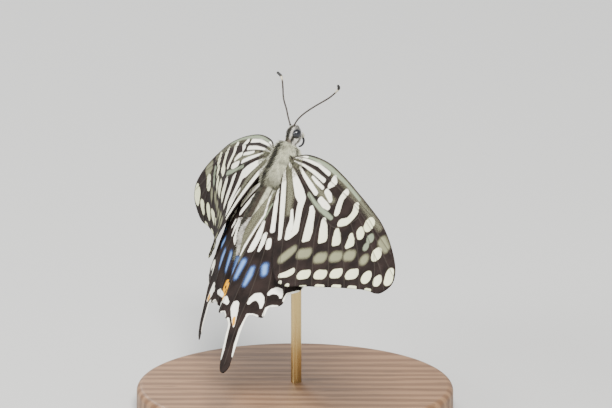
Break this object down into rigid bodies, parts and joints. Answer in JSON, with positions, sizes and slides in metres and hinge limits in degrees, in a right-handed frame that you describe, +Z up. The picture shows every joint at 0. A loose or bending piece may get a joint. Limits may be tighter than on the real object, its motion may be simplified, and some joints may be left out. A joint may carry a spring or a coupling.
{
  "type": "asian swallowtail butterfly model",
  "caption": "Life-size model of a swallowtail butterfly in flight, wings spread and head up, held over a round wooden base by one thin rod.",
  "frame": {"origin": "centre of the stand's underside, on the surface that it rests on", "axes": "+Z up; the picture looks along +Y from 15 degrees above; the head points up, towards +X and a little towards +Y, and the right wings point towards -Y"},
  "size_m": [0.06, 0.0943, 0.0649],
  "materials": {
    "wing_scales": "matte wing scales, brown-black with cream marks",
    "body_hair": "short soft hair, cream and black",
    "eye": "glossy black",
    "feeler": "dark brown horn",
    "leg": "grey-brown, finely scaled",
    "base_wood": "satin walnut",
    "rod_metal": "polished brass"
  },
  "bodies": {
    "root": {"head": "body_hair", "thorax": "body_hair", "abdomen": "body_hair", "eye_left": "eye", "eye_right": "eye", "antenna_left": "feeler", "antenna_right": "feeler", "palp_left": "body_hair", "palp_right": "body_hair", "proboscis": "feeler", "leg_front_left": "leg", "leg_front_right": "leg", "leg_middle_left": "leg", "leg_middle_right": "leg", "leg_hind_left": "leg", "leg_hind_right": "leg", "forewing_left": "wing_scales", "forewing_right": "wing_scales", "hindwing_left": "wing_scales", "hindwing_right": "wing_scales", "stand_base": "base_wood", "stand_rod": "rod_metal"}
  },
  "joints": []
}
